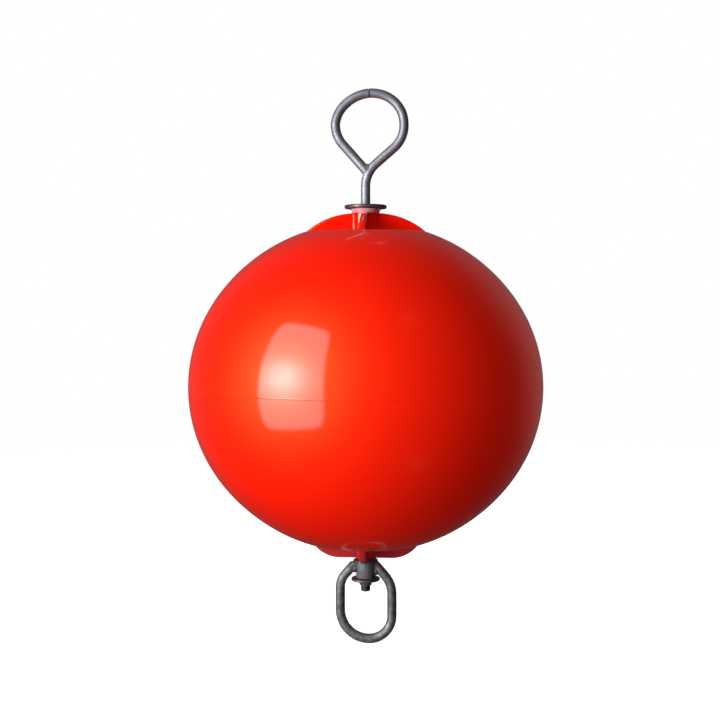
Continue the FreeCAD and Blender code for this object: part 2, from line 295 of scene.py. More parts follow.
def placeLights(s):
    window = placeLamp("windowLight", s["windowPlace"], s["windowSize"], s["windowPower"])
    shapeWindow(window.data, s)
    for name, (place, size, power) in s["fills"].items():
        fill = placeLamp(name, place, (size, size), power)
        fill.visible_glossy = False  # a weak bounce, with no mirror image of its own
    world = bpy.data.worlds.new("studioWorld")
    scene.world = world
    tree = cleared(world)
    ray = addNode(tree, "ShaderNodeLightPath").outputs
    way = addNode(tree, "ShaderNodeTexCoord").outputs["Generated"]
    split = addNode(tree, "ShaderNodeSeparateXYZ", {0: way}).outputs
    depth = remap(tree, split["Y"], s["roomDepth"], s["roomTones"], "SMOOTHSTEP")
    lift = remap(tree, split["Z"], s["roomHeight"], s["roomShades"], "SMOOTHSTEP")
    room, glow, seen = [
        addNode(tree, "ShaderNodeBackground", {"Color": (1, 1, 1, 1), "Strength": strength}).outputs[0]
        for strength in (doMath(tree, "MULTIPLY", depth, lift), s["ambient"], s["backdrop"])]
    mirrored = mixShader(tree, ray["Is Glossy Ray"], glow, room)
    whole = mixShader(tree, ray["Is Camera Ray"], mirrored, seen)
    addNode(tree, "ShaderNodeOutputWorld", {"Surface": whole})


floorSet = {"radius": 2.4, "sides": 96, "fadeFrom": 0.75, "drop": 0.0006, "tone": 0.80, "glow": 0.78}


def placeFloor(s):
    low = cadBox[0][2] - s["drop"]
    turns = [math.tau * i / s["sides"] for i in range(s["sides"])]
    around = [(s["radius"] * math.cos(turn), s["radius"] * math.sin(turn), low) for turn in turns]
    floor = meshPiece("studioFloor", around, [tuple(range(s["sides"]))])
    paint = bpy.data.materials.new("paleFloor")
    tree = cleared(paint)
    place = addNode(tree, "ShaderNodeTexCoord").outputs["Object"]
    reach = doVector(tree, "LENGTH", {0: place})["Value"]
    fade = remap(tree, reach, (s["fadeFrom"], s["radius"]), ease="SMOOTHERSTEP")
    matt = addNode(tree, "ShaderNodeBsdfDiffuse", {"Color": (s["tone"], s["tone"], s["tone"], 1)})
    glow = addNode(tree, "ShaderNodeEmission", {"Strength": s["glow"]})
    both = addNode(tree, "ShaderNodeAddShader", {0: matt.outputs[0], 1: glow.outputs[0]})
    clear = addNode(tree, "ShaderNodeBsdfTransparent")
    edged = mixShader(tree, fade, both.outputs[0], clear.outputs[0])
    addNode(tree, "ShaderNodeOutputMaterial", {"Surface": edged})
    floor.data.materials.append(paint)
    for kind in ("glossy", "diffuse", "shadow"):
        setattr(floor, "visible_" + kind, False)


placeCamera(cameraSet)
placeLights(lightSet)
placeFloor(floorSet)
print("camera, lights and floor placed")


# finishes

finishOutputs = {"Tone": "Color", "Roughness": "Float", "Height": "Float"}


def giveOut(tree, out, *sockets):
    for label, socket in zip(finishOutputs, sockets):
        tree.links.new(socket, out[label])
    return tree


def zincGroup():
    # mottled hot-dip zinc: drifting tone, crystal spangle, fine grit, and a darker tone where the bar
    # carries its mark: dirt near the ends and painted shade in bands
    tree, given, out = newTree("zincMottle", "ShaderNodeTree", {
        "Light Tone": (0.6, 0.6, 0.6, 1), "Dark Tone": (0.3, 0.3, 0.3, 1),
        "Blotch Scale": 60.0, "Spangle Scale": 260.0, "Grit Scale": 1400.0, "Spangle Depth": 0.16,
        "Smooth Roughness": 0.3, "Rough Roughness": 0.55, "Grime Tone": (0.05, 0.055, 0.05, 1),
    }, finishOutputs)
    place = addNode(tree, "ShaderNodeTexCoord").outputs["Object"]
    blotch = noise(tree, place, given["Blotch Scale"], 5.0, 0.6)
    cells = {"Vector": place, "Scale": given["Spangle Scale"]}
    spangle = addNode(tree, "ShaderNodeTexVoronoi", cells, feature="F1").outputs["Color"]
    flake = addNode(tree, "ShaderNodeSeparateColor", {"Color": spangle}).outputs["Red"]
    grit = noise(tree, place, given["Grit Scale"], 3.0)
    spread = remap(tree, blotch, (0.32, 0.68))
    wander = doMath(tree, "MULTIPLY_ADD", flake, given["Spangle Depth"], spread)
    middle = doMath(tree, "DIVIDE", given["Spangle Depth"], 2.0)
    shift = doMath(tree, "SUBTRACT", wander, middle, clamp=True)
    tone = mixColour(tree, shift, given["Dark Tone"], given["Light Tone"])
    rough = remap(tree, shift, end=(given["Rough Roughness"], given["Smooth Roughness"]))
    lift = doMath(tree, "MULTIPLY_ADD", grit, 0.5, blotch)
    # the mark darkens the tone: dirt near the bars' ends, and painted shade in the bands given on each bar
    grime = addNode(tree, "ShaderNodeAttribute", attribute_name="grime").outputs["Fac"]
    grimedAndShaded = mixColour(tree, grime, tone, given["Grime Tone"])
    return giveOut(tree, out, grimedAndShaded, rough, lift)


def mouldedGroup():
    # moulded plastic: slow drift of tone, hair-fine scuffs, faint orange peel, broken scrapes along
    # the seam at height 0, glossier crowns that nothing rubs on, and a darker tone below a given height
    # that is painted shade
    tree, given, out = newTree("mouldedSkin", "ShaderNodeTree", {
        "Fresh Tone": (0.8, 0.1, 0.05, 1), "Weathered Tone": (0.7, 0.1, 0.05, 1),
        "Drift Scale": 7.0, "Scuff Scale": 30.0, "Peel Scale": 320.0, "Polish": 0.16, "Scuffed": 0.34,
        "Crown Height": 0.194, "Crown Polish": 0.2,
        "Stained Below": -9.0, "Stain": (0.5, 0.03, 0.035, 1),
        "Seam Reach": 0.0, "Seam Scuff": (0.9, 0.1, 0.07, 1),
    }, finishOutputs)
    place = addNode(tree, "ShaderNodeTexCoord").outputs["Object"]
    drift = noise(tree, place, given["Drift Scale"], 4.0)
    drawn = addNode(tree, "ShaderNodeMapping", {
        "Vector": place, "Scale": (1.0, 1.0, 9.0), "Rotation": (0.35, 0.2, 0.0)}).outputs[0]
    worn = remap(tree, noise(tree, drawn, given["Scuff Scale"], 8.0, 0.7), (0.56, 0.72))
    peel = noise(tree, place, given["Peel Scale"], 2.0)
    tone = mixColour(tree, drift, given["Fresh Tone"], given["Weathered Tone"])
    height = addNode(tree, "ShaderNodeSeparateXYZ", {0: place}).outputs["Z"]
    # painted shade: below the given height the tone turns to a darker crimson, standing in for the shade
    # under the body
    over = doMath(tree, "SUBTRACT", height, given["Stained Below"])
    unshaded = remap(tree, over, (-0.004, 0.004), ease="SMOOTHSTEP")
    shadedBelow = mixColour(tree, unshaded, given["Stain"], tone)
    streaked = addNode(tree, "ShaderNodeMapping", {"Vector": place, "Scale": (22.0, 22.0, 420.0)})
    broken = remap(tree, noise(tree, streaked.outputs[0], 1.0, 5.0, 0.65), (0.57, 0.75))
    beside = doMath(tree, "ABSOLUTE", height)
    nearSeam = remap(tree, beside, (0.0, given["Seam Reach"]), (1.0, 0.0))
    scraped = doMath(tree, "MULTIPLY", broken, nearSeam)
    rubbed = mixColour(tree, scraped, shadedBelow, given["Seam Scuff"])
    rough = remap(tree, worn, end=(given["Polish"], given["Scuffed"]))
    above = doMath(tree, "SUBTRACT", beside, given["Crown Height"])
    crown = remap(tree, above, (0.0, 0.006), ease="SMOOTHSTEP")
    kept = addNode(tree, "ShaderNodeMix", {0: crown, 2: rough, 3: given["Crown Polish"]}, data_type="FLOAT")
    lift = doMath(tree, "MULTIPLY_ADD", worn, -0.15, peel)
    dug = doMath(tree, "MULTIPLY_ADD", scraped, -4.0, lift)
    return giveOut(tree, out, rubbed, kept.outputs[0], dug)


groupsMade = {"zinc": zincGroup(), "moulded": mouldedGroup()}


def makeFinish(name, group, bump, values, shader):
    # bump is the depth of the relief, in millimetres
    finish = bpy.data.materials.new(name)
    tree = cleared(finish)
    effect = addNode(tree, "ShaderNodeGroup", node_tree=groupsMade[group])
    for key, value in values.items():
        effect.inputs[key].default_value = value
    made = effect.outputs
    relief = addNode(tree, "ShaderNodeBump", {
        "Height": made["Height"], "Strength": 1.0, "Distance": bump * mm})
    body = addNode(tree, "ShaderNodeBsdfPrincipled", {
        **shader, "Base Color": made["Tone"], "Roughness": made["Roughness"],
        "Normal": relief.outputs["Normal"]})
    addNode(tree, "ShaderNodeOutputMaterial", {"Surface": body.outputs[0]})
    return finish


floatVinyl = makeFinish("floatVinyl", "moulded", 0.02, {
    "Fresh Tone": (0.94, 0.004, 0.0004, 1), "Weathered Tone": (0.88, 0.006, 0.0008, 1),
    "Drift Scale": 6.0, "Scuff Scale": 26.0, "Polish": 0.50, "Scuffed": 0.58, "Crown Polish": 0.2,
    # painted shade: under the body the lower crown's fins and boss get a darker crimson tone
    "Stained Below": -0.2, "Stain": (0.46, 0.022, 0.03, 1),
    "Seam Reach": 0.008, "Seam Scuff": (0.92, 0.07, 0.05, 1),
}, {
    "Coat Weight": 0.8, "Coat Roughness": 0.075,
    "Specular IOR Level": 0.62, "Specular Tint": (1.0, 0.78, 0.13, 1),
})
bushNylon = makeFinish("bushNylon", "moulded", 0.03, {
    "Fresh Tone": (0.76, 0.38, 0.39, 1), "Weathered Tone": (0.68, 0.27, 0.28, 1),
    "Drift Scale": 60.0, "Scuff Scale": 120.0, "Polish": 0.35, "Scuffed": 0.55, "Crown Polish": 0.4,
}, {"Subsurface Weight": 0.25, "Subsurface Radius": (0.004, 0.003, 0.003)})
brightZinc = makeFinish("brightZinc", "zinc", 0.03, {
    "Light Tone": (0.38, 0.39, 0.435, 1), "Dark Tone": (0.26, 0.266, 0.30, 1),
    "Blotch Scale": 55.0, "Spangle Scale": 240.0, "Smooth Roughness": 0.50, "Rough Roughness": 0.62,
}, {"Metallic": 0.85})
dullZinc = makeFinish("dullZinc", "zinc", 0.3, {
    "Light Tone": (0.30, 0.302, 0.304, 1), "Dark Tone": (0.115, 0.116, 0.116, 1),
    "Blotch Scale": 150.0, "Spangle Scale": 300.0, "Smooth Roughness": 0.56, "Rough Roughness": 0.72,
}, {"Metallic": 0.8})
hubZinc = makeFinish("hubZinc", "zinc", 0.08, {
    "Light Tone": (0.20, 0.212, 0.222, 1), "Dark Tone": (0.13, 0.12, 0.135, 1),
    "Blotch Scale": 90.0, "Spangle Scale": 300.0, "Smooth Roughness": 0.62, "Rough Roughness": 0.75,
}, {"Metallic": 0.7})
weldZinc = makeFinish("weldZinc", "zinc", 0.35, {
    "Light Tone": (0.24, 0.235, 0.225, 1), "Dark Tone": (0.07, 0.07, 0.068, 1),
    "Blotch Scale": 160.0, "Spangle Scale": 500.0, "Smooth Roughness": 0.35, "Rough Roughness": 0.7,
}, {"Metallic": 0.8})
washerSteel = makeFinish("washerSteel", "zinc", 0.12, {
    # the pink cast in these tones is painted reflection, standing for the red float's light thrown onto the
    # steel
    "Light Tone": (0.235, 0.187, 0.197, 1), "Dark Tone": (0.08, 0.062, 0.062, 1),
    "Blotch Scale": 120.0, "Spangle Scale": 420.0, "Smooth Roughness": 0.35, "Rough Roughness": 0.6,
}, {"Metallic": 0.8})
print("finishes made")


def settle(piece, finish, body, slotName, *nodes):
    piece.data.materials.clear()
    piece.data.materials.append(finish)
    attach(piece, body)
    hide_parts(*nodes)
    print(piece.name, len(piece.data.polygons), "faces")


# the moulded float: one sector with its fin, repeated round the rod

floatSet = {
    "radius": 225.0, "halfHeight": 208.5, "rimRadius": 77.0, "recessDepth": 12.0, "recessSide": 7.0,
    "rimRound": 5.0, "finThickness": 9.0, "finEdge": 2.5, "finDraft": 0.3, "footRound": 3.0,
    "finTurn": -4.0, "finCount": 4, "finEnd": 83.0, "footRoom": 0.8, "leastWide": 0.4,
    "topBoss": 16.5, "topBossHeight": 220.0, "topFinSag": 5.6, "bossEdge": 0.8,
    "lowBoss": 11.0, "lowBossHeight": 221.5, "lowFinHeight": 219.5, "lowFinFlat": 33.0,
    "lowFinTip": (69.0, 3.4), "lowFinFall": 0.6,
    "seatRadius": 10.2, "seatHeight": 203.7, "boreRadius": 6.3, "boreReach": 100.0,
    "seamLift": 0.18, "seamWidth": 0.6, "seamZone": 2.4, "insetFrom": 89.0, "insetOver": 60.0,
    "evenFrom": 81.0, "evenOver": 50.0, "bodySteps": 66, "seamSteps": 12,
    "sag": 0.9, "sagScale": 6.5, "sagFrom": 150.0, "sagTo": 190.0, "seed": 3.7,
}


def ellipseHeight(s, radius):
    return s["halfHeight"] * math.sqrt(max(0.0, 1 - (radius / s["radius"]) ** 2))


def topFinLine(s):
    # the fin's arched top from the boss to the rim, as height over radius
    inner = Vector((s["topBoss"], s["topBossHeight"]))
    outer = Vector((s["rimRadius"], ellipseHeight(s, s["rimRadius"])))
    chord = outer - inner
    bulge = s["topFinSag"]
    arcRadius = (chord.length ** 2 / 4 + bulge ** 2) / (2 * bulge)
    rise = Vector((-chord.y, chord.x)).normalized()
    centre = (inner + outer) / 2 - rise * (arcRadius - bulge)
    return lambda r: min(s["topBossHeight"], centre.y + math.sqrt(arcRadius ** 2 - (r - centre.x) ** 2))


def lowFinLine(s):
    # flat beside the boss, then a tangent arc to the tip and a short step to the rim
    rimHeight = ellipseHeight(s, s["rimRadius"])
    tipRadius, tipHeight = s["lowFinTip"][0], rimHeight + s["lowFinTip"][1]
    run, drop = tipRadius - s["lowFinFlat"], s["lowFinHeight"] - tipHeight
    arcRadius = (run ** 2 + drop ** 2) / (2 * drop)
    step = s["lowFinTip"][1] / (s["rimRadius"] - tipRadius)

    def height(r):
        if r <= s["lowFinFlat"]:
            return s["lowFinHeight"]
        if r <= tipRadius:
            return s["lowFinHeight"] - arcRadius + math.sqrt(arcRadius ** 2 - (r - s["lowFinFlat"]) ** 2)
        return tipHeight - (r - tipRadius) * step - max(0.0, r - s["rimRadius"]) * s["lowFinFall"]
    return height


def meridian(s, boss, bossHeight, boreRadius):
    # the float's outline from the bore over the boss, the recess and the rim, then down to the seam
    rim = s["rimRadius"]
    rimHeight = ellipseHeight(s, rim)
    floor, foot = rimHeight - s["recessDepth"], rim - s["recessSide"]
    slope = -(s["halfHeight"] / s["radius"]) ** 2 * rim / rimHeight
    corners = [(boreRadius, bossHeight), (boss, bossHeight), (boss, floor), (foot, floor),
               (rim, rimHeight), (rim + 10, rimHeight + 10 * slope)]
    # for each corner its rounding, the steps round it, and the steps along the straight before it
    rounds = [(s["bossEdge"], 4, 2), (s["footRound"], 5, 9), (s["footRound"], 5, 18), (s["rimRound"], 9, 4)]
    points = [Vector(corners[0])]
    for i, (radius, steps, stepsBefore) in enumerate(rounds):
        bendPoints = rounded(corners[i], corners[i + 1], corners[i + 2], radius, steps)
        points += straight(points[-1], bendPoints[0], stepsBefore) + bendPoints[1:]
    start = math.acos(points[-1].x / s["radius"])
    stop = math.asin(s["seamZone"] / s["halfHeight"])
    for i in range(1, s["bodySteps"] + 1):
        turn = start + (stop - start) * i / s["bodySteps"]
        points.append(Vector((s["radius"] * math.cos(turn), s["halfHeight"] * math.sin(turn))))
    for i in range(1, s["seamSteps"] + 1):
        height = s["seamZone"] * (1 - i / s["seamSteps"])
        points.append(Vector((s["radius"] * math.sqrt(1 - (height / s["halfHeight"]) ** 2), height)))
    for point in points:  # the body stands a little inside, so that the seam's ridge is the widest place
        point.x -= s["seamLift"] * max(0.0, min(1.0, (point.x - s["insetFrom"]) / s["insetOver"]))
        point.x += s["seamLift"] * math.exp(-(point.y / s["seamWidth"]) ** 2)
    return points


def finSection(s, radius, floor, top, reference):
    # angle and height across half a sector, from the fin's middle to the middle of the bay
    halfSector = math.pi / s["finCount"]
    lift = max(0.0, top - floor)
    half, draft, edge = s["finThickness"] / 2, s["finDraft"], s["finEdge"]
    foot = min(s["footRound"], (reference * math.sin(halfSector) - half - draft) * s["footRoom"])
    share = min(1.0, lift / (edge + foot))  # where the fin is lower than its roundings, they shrink
    wide = max(share, s["leastWide"])
    across = [((half - edge * wide - draft) * i / 3, lift) for i in range(4)]
    turns = [math.pi / 2 * i / 5 for i in range(1, 6)]
    for turn in turns:
        inward, down = edge * wide * (1 - math.sin(turn)), edge * share * (1 - math.cos(turn))
        across.append((half - draft - inward, lift - down))
    wallTop, wallLow = lift - edge * share, foot * share
    for i in range(1, 5):
        across.append((half + draft * (i / 2 - 1), wallTop + (wallLow - wallTop) * i / 4))
    for turn in turns:
        outward, up = foot * wide * (1 - math.cos(turn)), foot * share * (1 - math.sin(turn))
        across.append((half + draft + outward, up))
    section = [(math.asin(distance / reference), floor + height) for distance, height in across]
    last = section[-1][0]
    section += [(last + (halfSector - last) * i / 12, floor) for i in range(1, 13)]
    even = max(0.0, min(1.0, (radius - s["evenFrom"]) / s["evenOver"]))
    even = even * even * (3 - 2 * even)  # away from the fin the columns spread out evenly
    count = len(section) - 1
    return [(angle + (halfSector * i / count - angle) * even, height)
            for i, (angle, height) in enumerate(section)]


def floatSector(s):
    rows = []
    for side, boss, bossHeight, boreRadius, finLine in (
            (1, s["topBoss"], s["topBossHeight"], s["seatRadius"], topFinLine(s)),
            (-1, s["lowBoss"], s["lowBossHeight"], s["boreRadius"], lowFinLine(s))):
        half = []
        for point in meridian(s, boss, bossHeight, boreRadius):
            onBoss = point.x < boss - s["bossEdge"] - 0.01
            top = point.y if onBoss or point.x > s["finEnd"] else finLine(point.x)
            section = finSection(s, point.x, point.y, top, max(point.x, boss))
            half.append([(point.x, angle, side * height) for angle, height in section])
        rows += half if side > 0 else half[-2::-1]
    plain = [angle for _, angle, _ in rows[0]]
    for height in (-s["halfHeight"] * 0.5, 0.0, s["halfHeight"] * 0.5, s["seatHeight"]):
        rows.append([(s["boreRadius"], angle, height) for angle in plain])
    rows.append([(s["seatRadius"], angle, s["seatHeight"]) for angle in plain])
    points, faces = [], []
    for row in rows:
        mirrored = [(radius, -angle, height) for radius, angle, height in row[:0:-1]] + row
        points += [(r * math.cos(a) * mm, r * math.sin(a) * mm, h * mm) for r, a, h in mirrored]
    width = len(points) // len(rows)
    for i in range(len(rows)):
        low, high = i * width, (i + 1) % len(rows) * width
        faces += [(low + j, low + j + 1, high + j + 1, high + j) for j in range(width - 1)]
    return meshPiece("floatSkin", points, faces)


def sectorTree():
    tree, given, out = newTree("sectorsRoundRod", "GeometryNodeTree", {
        "Sector": "Geometry", "Count": 4, "Turn": 0.0, "Sag": 0.0005, "Sag Scale": 6.0,
        "Sag From": 0.15, "Sag To": 0.19, "Bore Reach": 0.1, "Seed": 0.0, "Finish": "Material",
    }, {"Float": "Geometry"})
    spots = addNode(tree, "GeometryNodeMeshLine", {"Count": given["Count"], "Offset": (0, 0, 0)})
    index = addNode(tree, "GeometryNodeInputIndex").outputs[0]
    share = doMath(tree, "DIVIDE", math.tau, given["Count"])
    angle = doMath(tree, "MULTIPLY_ADD", index, share, given["Turn"])
    spin = addNode(tree, "ShaderNodeCombineXYZ", {"Z": angle})
    turned = addNode(tree, "FunctionNodeEulerToRotation", {0: spin.outputs[0]})
    copies = addNode(tree, "GeometryNodeInstanceOnPoints", {
        "Points": spots.outputs[0], "Instance": given["Sector"], "Rotation": turned.outputs[0]})
    whole = addNode(tree, "GeometryNodeRealizeInstances", {0: copies.outputs[0]}).outputs[0]
    joined = addNode(tree, "GeometryNodeMergeByDistance", {"Geometry": whole, "Distance": 0.000003})
    where = addNode(tree, "GeometryNodeInputPosition").outputs[0]
    dents = seededNoise(tree, where, given["Seed"], given["Sag Scale"], 1.0)
    level = doMath(tree, "ABSOLUTE", addNode(tree, "ShaderNodeSeparateXYZ", {0: where}).outputs["Z"])
    mask = remap(tree, level, (given["Sag To"], given["Sag From"]), ease="SMOOTHSTEP")
    reach = doVector(tree, "LENGTH", {0: where})["Value"]
    outside = doMath(tree, "GREATER_THAN", reach, given["Bore Reach"])
    depth = doMath(tree, "MULTIPLY", dents, given["Sag"])
    kept = doMath(tree, "MULTIPLY", doMath(tree, "MULTIPLY", depth, mask), outside)
    outward = doVector(tree, "NORMALIZE", {0: where})[0]
    shaped = pushSkin(tree, joined.outputs[0], outward, doMath(tree, "MULTIPLY", kept, -1.0))
    return endTree(tree, shaped, given["Finish"], out)


floatSkin = runTree(floatSector(floatSet), sectorTree(), {
    "Count": floatSet["finCount"], "Turn": math.radians(floatSet["finTurn"]),
    "Sag": floatSet["sag"] * mm, "Sag Scale": floatSet["sagScale"], "Sag From": floatSet["sagFrom"] * mm,
    "Sag To": floatSet["sagTo"] * mm, "Bore Reach": floatSet["boreReach"] * mm, "Seed": floatSet["seed"],
    "Finish": floatVinyl,
})
cleanMesh(floatSkin)
settle(floatSkin, floatVinyl, "float", "float_plastic", "float_shell")


# turned pieces: bush, washers and the swivel's tube

def turnedPiece(name, corners, steps=112, roundSteps=4):
    # each corner is (radius, height, rounding); the closed outline turns round the rod's axis
    outline = []
    for i, (radius, height, roundness) in enumerate(corners):
        before, after = corners[i - 1][:2], corners[(i + 1) % len(corners)][:2]
        outline += rounded(before, (radius, height), after, roundness, roundSteps)
    points, faces = [], []
    for i in range(steps):
        turn = math.tau * i / steps
        points += [(p.x * math.cos(turn) * mm, p.x * math.sin(turn) * mm, p.y * mm) for p in outline]
    count = len(outline)
    for i in range(steps):
        here, there = i * count, (i + 1) % steps * count
        faces += [(here + j, here + (j + 1) % count, there + (j + 1) % count, there + j)
                  for j in range(count)]
    return cleanMesh(meshPiece(name, points, faces))


def turnedTube(name, bore, reach, low, high, edges, steps=112):
    # edges are the roundings at the bore, at the lower rim and at the upper rim
    atBore, atLow, atHigh = edges
    corners = [(bore, low, atBore), (reach, low, atLow), (reach, high, atHigh), (bore, high, atBore)]
    return turnedPiece(name, corners, steps)


def nodeSpan(node):
    # the solid's lowest and highest point and its reach from the axis
    low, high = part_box(node)
    return low[2] / mm, high[2] / mm, high[0] / mm


bushSet = {
    "bore": 6.3, "boreEdge": 0.3, "spigot": 10.0, "spigotEdge": 0.4, "seatEdge": 0.2,
    "foot": 17.5, "edge": 0.5,
}
low, high, reach = nodeSpan("top_bush")
seat = floatSet["topBossHeight"]
bushSkin = turnedPiece("bushSkin", [
    (bushSet["bore"], low, bushSet["boreEdge"]), (bushSet["spigot"], low, bushSet["spigotEdge"]),
    (bushSet["spigot"], seat, bushSet["seatEdge"]), (bushSet["foot"], seat, bushSet["edge"]),
    (reach, high, bushSet["edge"]), (bushSet["bore"], high, bushSet["boreEdge"]),
])
settle(bushSkin, bushNylon, "float", "bush_plastic", "top_bush")

washerSet = {  # bore and roundings
    "top_washer": (6.02, (0.3, 1.5, 1.9)), "upper_swivel_washer": (6.2, (0.3, 0.5, 0.9)),
    "lower_swivel_washer": (6.2, (0.3, 0.9, 0.9)),
}
for node, (bore, edges) in washerSet.items():
    low, high, reach = nodeSpan(node)
    disc = turnedTube(node.split("_")[0] + "WasherDisc", bore, reach, low, high, edges)
    settle(disc, washerSteel, "rod", "washer_steel", node)

hubSet = {"bore": 6.3, "edges": (0.4, 0.7, 0.7), "zincBuild": 1.4}
hubLow, hubHigh, hubReach = nodeSpan("swivel_hub")
hubReach += hubSet["zincBuild"]
hubTube = turnedTube("hubTube", hubSet["bore"], hubReach, hubLow, hubHigh, hubSet["edges"])
settle(hubTube, hubZinc, "bow", "dull_galvanised", "swivel_hub")
print("bush, washers and hub turned")


# bars that follow a path: the rod with its eye, and the bow

def barTree():
    tree, given, out = newTree("barAlongPath", "GeometryNodeTree", {
        "Path": "Geometry", "Bar Radius": 0.006, "Sides": 40, "Unevenness": 0.0001, "Lump Scale": 90.0,
        "Seed": 0.0, "Finish": "Material",
    }, {"Bar": "Geometry"})
    line = addNode(tree, "GeometryNodeMeshToCurve", {0: given["Path"]})
    ring = addNode(tree, "GeometryNodeCurvePrimitiveCircle", {
        "Resolution": given["Sides"], "Radius": given["Bar Radius"]}, mode="RADIUS")
    taper = addNode(tree, "GeometryNodeInputNamedAttribute", {"Name": "taper"}, data_type="FLOAT")
    swept = addNode(tree, "GeometryNodeCurveToMesh", {
        "Curve": line.outputs[0], "Profile Curve": ring.outputs[0], "Scale": taper.outputs[0],
        "Fill Caps": True})
    where = addNode(tree, "GeometryNodeInputPosition").outputs[0]
    lumps = seededNoise(tree, where, given["Seed"], given["Lump Scale"], 2.0)
    hollows = doMath(tree, "SUBTRACT", lumps, 0.75)  # inward, so that the bar keeps to its radius
    depth = doMath(tree, "MULTIPLY", hollows, given["Unevenness"])
    normal = addNode(tree, "GeometryNodeInputNormal").outputs[0]
    shaped = pushSkin(tree, swept.outputs[0], normal, depth)
    return endTree(tree, shaped, given["Finish"], out)


barNodes = barTree()
barSet = {"sides": 48, "lumpScale": 70.0}
plainEnds = (0.5, 0.5)


def evenBar(radius):
    return {"barRadius": radius, "unevenness": 0.0, "shadeBand": (0.0, 1.0, 1.0, 0.0)}


def barPiece(name, path, s, finish, ends, grimy=(0, 0), seed=0.0):
    # the path is in the XZ plane, in millimetres; ends says how far each end is eased, grimy how far
    # the dirt reaches from it, and the band setting gives the heights of a band of painted shade, how
    # softly it fades and how much it darkens
    radius, (low, high, fade, shadeAmount) = s["barRadius"], s["shadeBand"]
    lengths = [0.0]
    for a, b in zip(path, path[1:]):
        lengths.append(lengths[-1] + (b - a).length)
    stations = [(place, 1.0) for place in lengths[1:-1]]
    total = lengths[-1]
    for ease, start, way in ((ends[0], 0.0, 1), (ends[1], total, -1)):
        # distance from the end and share of the radius, on a quarter round that closes at the end
        shape = [(0.0, 0.02), (0.01, 0.5), (ease * 1.15, 1.0)] + [
            (place, 1 - drop * ease / radius)
            for place, drop in ((0.02, 1.05), (0.12, 0.96), (ease * 0.5, 0.5), (ease * 0.88, 0.1))]
        stations = [(p, t) for p, t in stations if abs(p - start) > ease * 1.3 + 0.1]
        stations += [(start + way * p, t) for p, t in shape]
    stations.sort()
    points, tapers, grimeAndShadeMarks, k = [], [], [], 0
    for place, taper in stations:
        while k < len(lengths) - 2 and lengths[k + 1] < place:
            k += 1
        share = (place - lengths[k]) / (lengths[k + 1] - lengths[k])
        spot = path[k].lerp(path[k + 1], share)
        points.append((spot.x * mm, 0.0, spot.y * mm))
        tapers.append(taper)
        # painted shade: inside the band the zinc is darkened, fading over its edges
        within = 1 + min(spot.y - low, high - spot.y) / fade
        bandShade = shadeAmount * max(0.0, min(1.0, within))
        grimeAndShadeMarks.append(1.0 if place < grimy[0] or total - place < grimy[1] else bandShade)
    piece = meshPiece(name, points, [], [(i, i + 1) for i in range(len(points) - 1)])
    for label, values in (("taper", tapers), ("grime", grimeAndShadeMarks)):
        marks = piece.data.attributes.new(label, "FLOAT", "POINT")
        marks.data.foreach_set("value", values)
    runTree(piece, barNodes, {
        "Bar Radius": radius * mm, "Sides": barSet["sides"], "Unevenness": s["unevenness"] * mm,
        "Lump Scale": barSet["lumpScale"], "Seed": seed, "Finish": finish,
    })
    return cleanMesh(piece, joinFinely)


def bentPath(corners, step=1.5, bendSteps=20):
    # corners are (x, z, bend radius); straights get points too, so that the zinc can wander on them
    path = [Vector(corners[0][:2])]
    for i in range(1, len(corners)):
        x, z, radius = corners[i]
        if radius:
            curve = rounded(corners[i - 1][:2], (x, z), corners[i + 1][:2], radius, bendSteps)
        else:
            curve = [Vector((x, z))]
        gap = (curve[0] - path[-1]).length
        path += straight(path[-1], curve[0], max(1, round(gap / step))) + curve[1:]
    return path


eyeSet = {
    "barRadius": 6.0, "bend": 271.7, "bendRadius": 38.0, "offset": 1.6, "lean": 3.5, "sideRadius": 37.8,
    "spread": 6.0, "crest": 3.2, "legAngle": 45.0, "sideSteps": 46, "crestSteps": 34,
    "sway": 0.091, "swayFrom": 332.0, "swayEase": 6.0,
    "buttTurn": 5.0, "buttGap": 0.1, "buttEase": 0.5, "tailEase": 1.0, "crotchEase": 0.6,
    # the last setting is a band of painted shade on the eye's sides, dimming their highlight
    "tailGrime": 12.0, "buttGrime": 0.8, "unevenness": 0.16, "shadeBand": (326.0, 350.0, 14.0, 0.34),
    "rodSeed": 1.3, "leftSeed": 4.1,
}


def leaning(s, x, z):
    # a step along the eye's own outline, which leans to the right
    lean = math.radians(s["lean"])
    return Vector((x * math.cos(lean) + z * math.sin(lean), z * math.cos(lean) - x * math.sin(lean)))


def eyeCrotch(s):
    # where the middle lines of the two legs meet
    steepness = math.tan(math.radians(s["legAngle"] + s["lean"]))
    return Vector((s["offset"], s["bend"] + s["offset"] / steepness))


